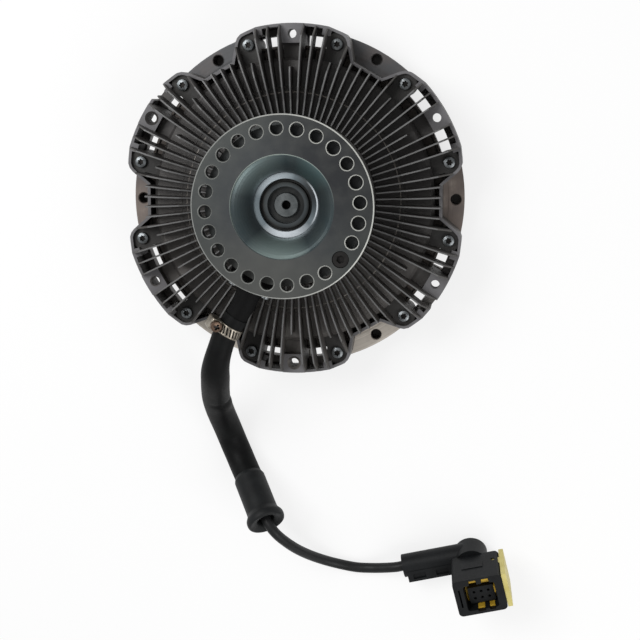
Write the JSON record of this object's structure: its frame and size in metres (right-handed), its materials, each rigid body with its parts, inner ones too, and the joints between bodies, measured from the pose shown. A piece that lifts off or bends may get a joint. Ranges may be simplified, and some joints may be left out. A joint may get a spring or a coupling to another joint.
{
  "type": "viscous fan clutch",
  "caption": "Electronically controlled viscous fan clutch: finned drum with a drilled hub plate, a coil on its own bearing, and a clamped hose, cable and connector.",
  "frame": {"origin": "on the shaft's axis, at the surface that the clutch lies on with its front fins", "axes": "+Z along the shaft toward the hub plate; +X to the picture's right and +Y to its top"},
  "size_m": [0.3386, 0.5158, 0.124],
  "materials": {
    "rear_casting": "blasted die casting, dark",
    "front_casting": "die casting with a turned fan flange",
    "zinc_steel": "zinc plated, satin",
    "screw_steel": "bright zinc",
    "bare_steel": "ground",
    "oxide_steel": "black oxide",
    "stainless": "satin stainless strip",
    "brass_cage": "pressed brass",
    "black_plastic": "moulded, satin black",
    "hose_rubber": "smooth black rubber",
    "cable_jacket": "black jacket",
    "yellow_plastic": "pale yellow moulding",
    "ochre_plastic": "ochre moulding",
    "copper_wire": "enamelled copper",
    "terminal_tin": "plated contact",
    "seal_rubber": "moulded seal"
  },
  "bodies": {
    "housing": {"front_cover": "front_casting", "rear_housing": "rear_casting", "cover_screws": "screw_steel", "cover_seal": "seal_rubber", "main_bearing_outer_ring": "bare_steel", "bearing_retaining_ring": "bare_steel", "inner_flux_ring": "bare_steel", "outer_flux_ring": "bare_steel", "speed_target_ring": "zinc_steel", "reservoir_plate": "zinc_steel", "reservoir_screws": "screw_steel", "valve_hinge_pin": "bare_steel", "valve_spring": "stainless", "fill_plug": "oxide_steel"},
    "shaft": {"hub_flange": "zinc_steel", "input_shaft": "bare_steel", "locating_screw": "oxide_steel", "main_bearing_inner_ring": "bare_steel", "rotor": "front_casting", "rotor_nut": "zinc_steel", "coil_bearing_inner_ring": "bare_steel", "hub_retaining_ring": "bare_steel"},
    "main_cage": {"main_bearing_balls": "bare_steel", "main_bearing_cage": "brass_cage"},
    "stator": {"magnet_body": "zinc_steel", "coil_bobbin": "black_plastic", "coil_winding": "copper_wire", "coil_bearing_outer_ring": "bare_steel", "coil_retaining_ring": "bare_steel", "speed_sensor": "black_plastic", "cable_outlet": "black_plastic", "outlet_screws": "screw_steel", "hose_clamp_band": "stainless", "clamp_worm_screw": "stainless", "hose": "hose_rubber", "end_sleeve": "hose_rubber", "cable": "cable_jacket", "connector_backshell": "black_plastic", "connector_housing": "black_plastic", "terminal_insert": "black_plastic", "terminals": "terminal_tin", "secondary_lock": "ochre_plastic"},
    "coil_cage": {"coil_bearing_balls": "bare_steel", "coil_bearing_cage": "brass_cage"},
    "lock": {"lock_slide": "yellow_plastic"},
    "valve": {"valve_lever": "zinc_steel"}
  },
  "joints": [
    {"name": "shaft_spin", "type": "hinge", "parent": "housing", "child": "shaft", "pos_m": [0, 0, 0.0635], "axis": [0, 0, 1], "continuous": true},
    {"name": "main_cage_spin", "type": "hinge", "parent": "housing", "child": "main_cage", "pos_m": [0, 0, 0.0635], "axis": [0, 0, 1], "continuous": true},
    {"name": "stator_spin", "type": "hinge", "parent": "shaft", "child": "stator", "pos_m": [0, 0, 0.102], "axis": [0, 0, 1], "continuous": true},
    {"name": "coil_cage_spin", "type": "hinge", "parent": "shaft", "child": "coil_cage", "pos_m": [0, 0, 0.102], "axis": [0, 0, 1], "continuous": true},
    {"name": "valve_lift", "type": "hinge", "parent": "housing", "child": "valve", "pos_m": [0, -0.07, 0.0487], "axis": [1, 0, 0], "range_deg": [0, 1.2], "stiffness_Nm_per_rad": 5, "deforming": ["valve_spring"]},
    {"name": "lock_slide", "type": "slide", "parent": "stator", "child": "lock", "axis": [0.9744, 0.225, 0], "range_m": [0, 0.006]}
  ],
  "couplings": [
    {"joint": "main_cage_spin", "follows": "shaft_spin", "ratio": 0.397},
    {"joint": "coil_cage_spin", "follows": "stator_spin", "ratio": 0.532}
  ]
}
